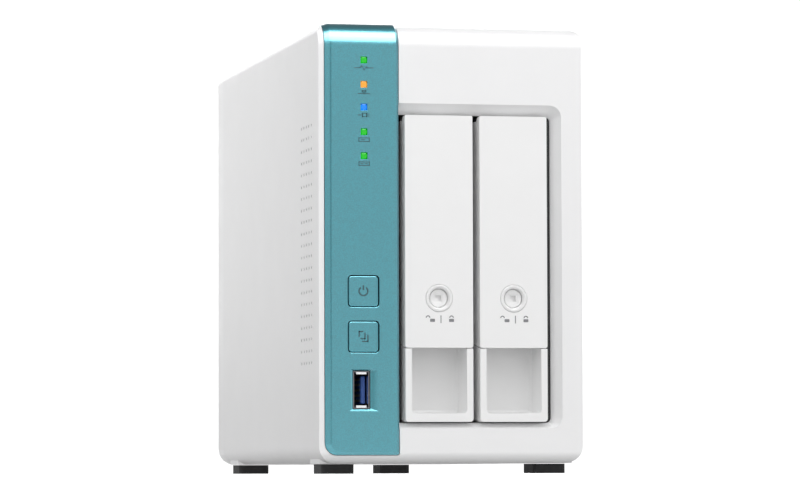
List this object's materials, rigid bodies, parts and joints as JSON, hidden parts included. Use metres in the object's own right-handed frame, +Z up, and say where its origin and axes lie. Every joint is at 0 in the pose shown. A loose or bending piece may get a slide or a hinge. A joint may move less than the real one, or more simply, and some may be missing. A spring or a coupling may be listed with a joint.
{
  "type": "network attached storage",
  "caption": "Upright desktop storage box with two front drive trays, a raised teal control strip with indicator lights, buttons and a USB socket, and a rear fan and sockets.",
  "frame": {"origin": "on the floor under the middle of the housing", "axes": "+Z up, the front with the trays faces -Y, +X to the right seen from the front"},
  "size_m": [0.102, 0.22, 0.17],
  "materials": {
    "white_plastic": "satin white moulded ABS",
    "cover_plastic": "fine-textured white ABS",
    "tray_plastic": "satin white moulded ABS",
    "lock_plastic": "light grey moulded plastic",
    "teal_satin": "satin metallic teal paint",
    "rubber": "matt black rubber",
    "black_plastic": "matt black plastic",
    "sheet_steel": "plated sheet steel",
    "screw_steel": "plated steel",
    "cell_steel": "nickel-plated steel",
    "usb_blue": "blue insulator",
    "circuit_board": "green solder mask",
    "memory": "dark board and chips",
    "aluminium": "extruded aluminium",
    "drive_aluminium": "cast aluminium, satin",
    "led_green": "translucent light pipe, lit green",
    "led_orange": "translucent light pipe, lit orange",
    "led_blue": "translucent light pipe, lit blue"
  },
  "bodies": {
    "chassis": {"front_bezel": "white_plastic", "outer_cover": "cover_plastic", "base_plate": "cover_plastic", "rear_panel": "cover_plastic", "accent_panel": "teal_satin", "foot_front_left": "rubber", "foot_front_right": "rubber", "foot_rear_left": "rubber", "foot_rear_right": "rubber", "cover_screw_left": "screw_steel", "cover_screw_right": "screw_steel", "led_status": "led_green", "led_network": "led_orange", "led_usb": "led_blue", "led_drive_1": "led_green", "led_drive_2": "led_green", "power_switch": "black_plastic", "copy_switch": "black_plastic", "front_usb_shell": "sheet_steel", "front_usb_tongue": "usb_blue", "front_io_board": "circuit_board", "main_board": "circuit_board", "backplane_board": "circuit_board", "soc_heatsink": "aluminium", "memory_module": "memory", "coin_cell": "cell_steel", "sata_connector_1": "black_plastic", "sata_connector_2": "black_plastic", "drive_cage": "black_plastic", "fan_frame": "black_plastic", "lan_port_1": "sheet_steel", "lan_port_2": "sheet_steel", "rear_usb_1": "sheet_steel", "rear_usb_2": "sheet_steel", "dc_jack": "black_plastic", "fan_screw_1": "screw_steel", "fan_screw_2": "screw_steel", "fan_screw_3": "screw_steel", "fan_screw_4": "screw_steel"},
    "fan_rotor": {"fan_rotor": "black_plastic"},
    "power_button": {"power_button": "teal_satin"},
    "copy_button": {"copy_button": "teal_satin"},
    "reset_button": {"reset_button": "black_plastic"},
    "tray_1": {"tray_1": "tray_plastic", "hard_drive_1": "drive_aluminium", "drive_1_screw_1": "screw_steel", "drive_1_screw_2": "screw_steel", "drive_1_screw_3": "screw_steel", "drive_1_screw_4": "screw_steel"},
    "tray_handle_1": {"tray_handle_1": "tray_plastic"},
    "tray_lock_1": {"tray_lock_1": "lock_plastic"},
    "tray_2": {"tray_2": "tray_plastic", "hard_drive_2": "drive_aluminium", "drive_2_screw_1": "screw_steel", "drive_2_screw_2": "screw_steel", "drive_2_screw_3": "screw_steel", "drive_2_screw_4": "screw_steel"},
    "tray_handle_2": {"tray_handle_2": "tray_plastic"},
    "tray_lock_2": {"tray_lock_2": "lock_plastic"}
  },
  "joints": [
    {"name": "fan_spin", "type": "hinge", "parent": "chassis", "child": "fan_rotor", "pos_m": [0.0105, 0.09385, 0.085], "axis": [0, 1, 0], "continuous": true},
    {"name": "power_press", "type": "slide", "parent": "chassis", "child": "power_button", "axis": [0, 1, 0], "range_m": [0, 0.001], "stiffness_N_per_m": 400},
    {"name": "copy_press", "type": "slide", "parent": "chassis", "child": "copy_button", "axis": [0, 1, 0], "range_m": [0, 0.001], "stiffness_N_per_m": 400},
    {"name": "reset_press", "type": "slide", "parent": "chassis", "child": "reset_button", "axis": [0, -1, 0], "range_m": [0, 0.0008], "stiffness_N_per_m": 300},
    {"name": "tray_1_slide", "type": "slide", "parent": "chassis", "child": "tray_1", "axis": [0, -1, 0], "range_m": [0, 0.17]},
    {"name": "tray_1_handle_swing", "type": "hinge", "parent": "tray_1", "child": "tray_handle_1", "pos_m": [-0.0047, -0.1058, 0.1319], "axis": [-1, 0, 0], "range_deg": [0, 50]},
    {"name": "tray_1_lock_turn", "type": "hinge", "parent": "tray_handle_1", "child": "tray_lock_1", "pos_m": [-0.0047, -0.1084, 0.066], "axis": [0, 1, 0], "range_deg": [0, 90]},
    {"name": "tray_2_slide", "type": "slide", "parent": "chassis", "child": "tray_2", "axis": [0, -1, 0], "range_m": [0, 0.17]},
    {"name": "tray_2_handle_swing", "type": "hinge", "parent": "tray_2", "child": "tray_handle_2", "pos_m": [0.0242, -0.1058, 0.1319], "axis": [-1, 0, 0], "range_deg": [0, 50]},
    {"name": "tray_2_lock_turn", "type": "hinge", "parent": "tray_handle_2", "child": "tray_lock_2", "pos_m": [0.0242, -0.1084, 0.066], "axis": [0, 1, 0], "range_deg": [0, 90]}
  ]
}
